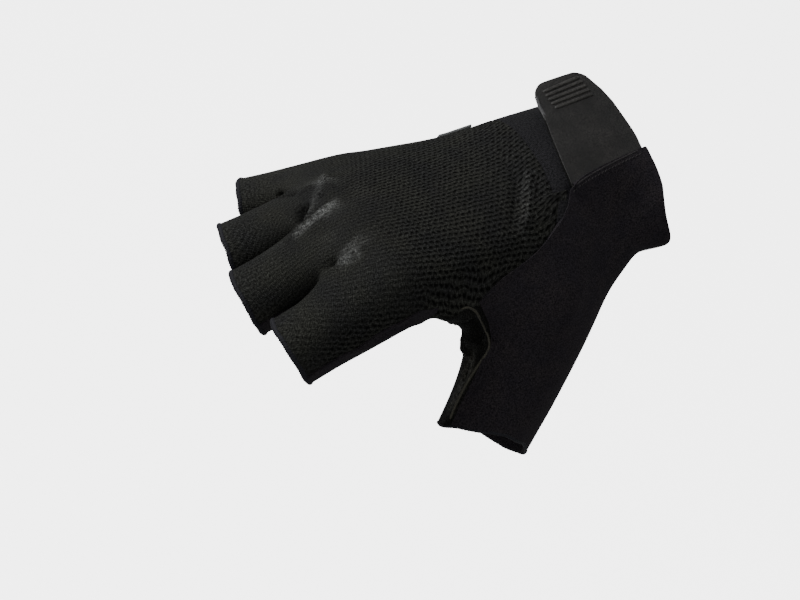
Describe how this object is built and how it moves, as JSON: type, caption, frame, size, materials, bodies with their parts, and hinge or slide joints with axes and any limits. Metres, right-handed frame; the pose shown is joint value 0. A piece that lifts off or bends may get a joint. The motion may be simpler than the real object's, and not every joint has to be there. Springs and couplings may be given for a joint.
{
  "type": "cycling glove",
  "caption": "Short-finger right-hand cycling glove in its worn form: knit back, suede palm and thumb, stretch cuff and a moulded closure tab across the back of the wrist.",
  "frame": {"origin": "centre of the cuff opening, where the wrist goes in", "axes": "+X out of the cuff opening towards the elbow, so the fingers point to -X; +Z the back of the hand; the thumb on the -Y side"},
  "size_m": [0.1423, 0.1172, 0.084],
  "materials": {
    "knit": "mesh knit, dark grey",
    "suede": "microfibre suede, black",
    "stretch": "smooth stretch cloth, navy black",
    "binding": "overlocked edge thread, navy black",
    "moulded": "matt moulded rubber, dark grey",
    "hook": "hook-and-loop, black",
    "label": "plain, grey"
  },
  "bodies": {
    "root": {"back_panel": "knit", "thumb_gusset": "knit", "palm_panel": "suede", "under_little": "suede", "under_ring": "suede", "under_middle": "suede", "under_index": "suede", "thumb_panel": "suede", "cuff_band": "stretch", "hem_little": "binding", "hem_ring": "binding", "hem_middle": "binding", "hem_index": "binding", "hem_thumb": "binding", "closure_tab": "moulded", "hook_strip": "hook", "back_label": "label"}
  },
  "joints": []
}
